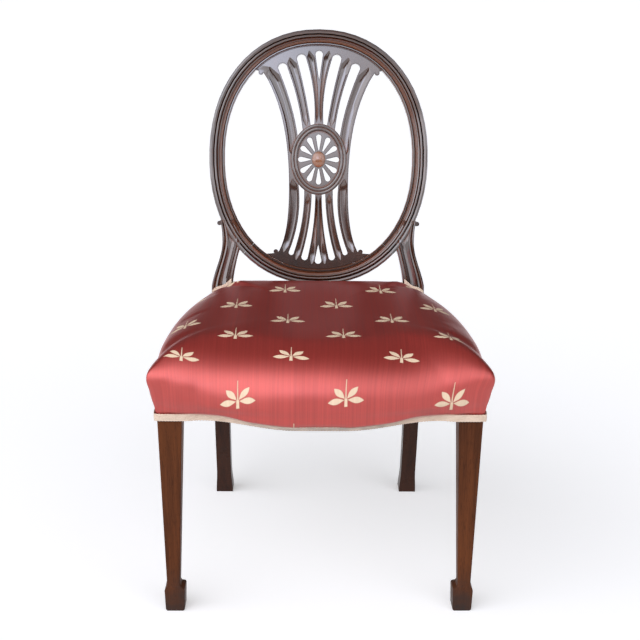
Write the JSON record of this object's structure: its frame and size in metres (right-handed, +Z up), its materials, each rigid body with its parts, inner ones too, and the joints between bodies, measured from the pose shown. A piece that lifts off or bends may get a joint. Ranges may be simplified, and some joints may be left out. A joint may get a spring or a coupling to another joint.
{
  "type": "wheel back dining chair",
  "caption": "Side chair with a moulded oval back, a pierced fan splat with a wheel at its middle, a stuffed serpentine seat and square tapered legs on spade feet.",
  "frame": {"origin": "on the floor, in the middle of the chair's width and depth", "axes": "+Z up, -Y the way the chair faces, +X to its right in the picture"},
  "size_m": [0.5686, 0.5942, 0.9485],
  "materials": {
    "mahogany": "dark polished mahogany",
    "leg_mahogany": "plain polished mahogany, warmer and less shiny",
    "light_mahogany": "lighter polished mahogany",
    "rail_wood": "bare beech",
    "satin": "ribbed red satin with a woven cream figure",
    "braid": "cream gimp braid",
    "webbing": "jute webbing",
    "base_cloth": "hessian",
    "stuffing": "hair and wadding"
  },
  "bodies": {
    "root": {"rear_post_left": "mahogany", "rear_post_right": "mahogany", "crest_rail": "mahogany", "lower_oval_rail": "mahogany", "splat": "mahogany", "splat_boss": "light_mahogany", "front_leg_left": "leg_mahogany", "front_leg_right": "leg_mahogany", "front_seat_rail": "rail_wood", "side_seat_rail_left": "rail_wood", "side_seat_rail_right": "rail_wood", "rear_seat_rail": "mahogany", "corner_block_front_left": "rail_wood", "corner_block_front_right": "rail_wood", "corner_block_rear_left": "rail_wood", "corner_block_rear_right": "rail_wood", "webbing_long_1": "webbing", "webbing_long_2": "webbing", "webbing_long_3": "webbing", "webbing_long_4": "webbing", "webbing_cross_1": "webbing", "webbing_cross_2": "webbing", "webbing_cross_3": "webbing", "seat_base_cloth": "base_cloth", "seat_stuffing": "stuffing", "seat_cover": "satin", "gimp_front": "braid", "gimp_rear": "braid", "gimp_post_left": "braid", "gimp_post_right": "braid"}
  },
  "joints": []
}
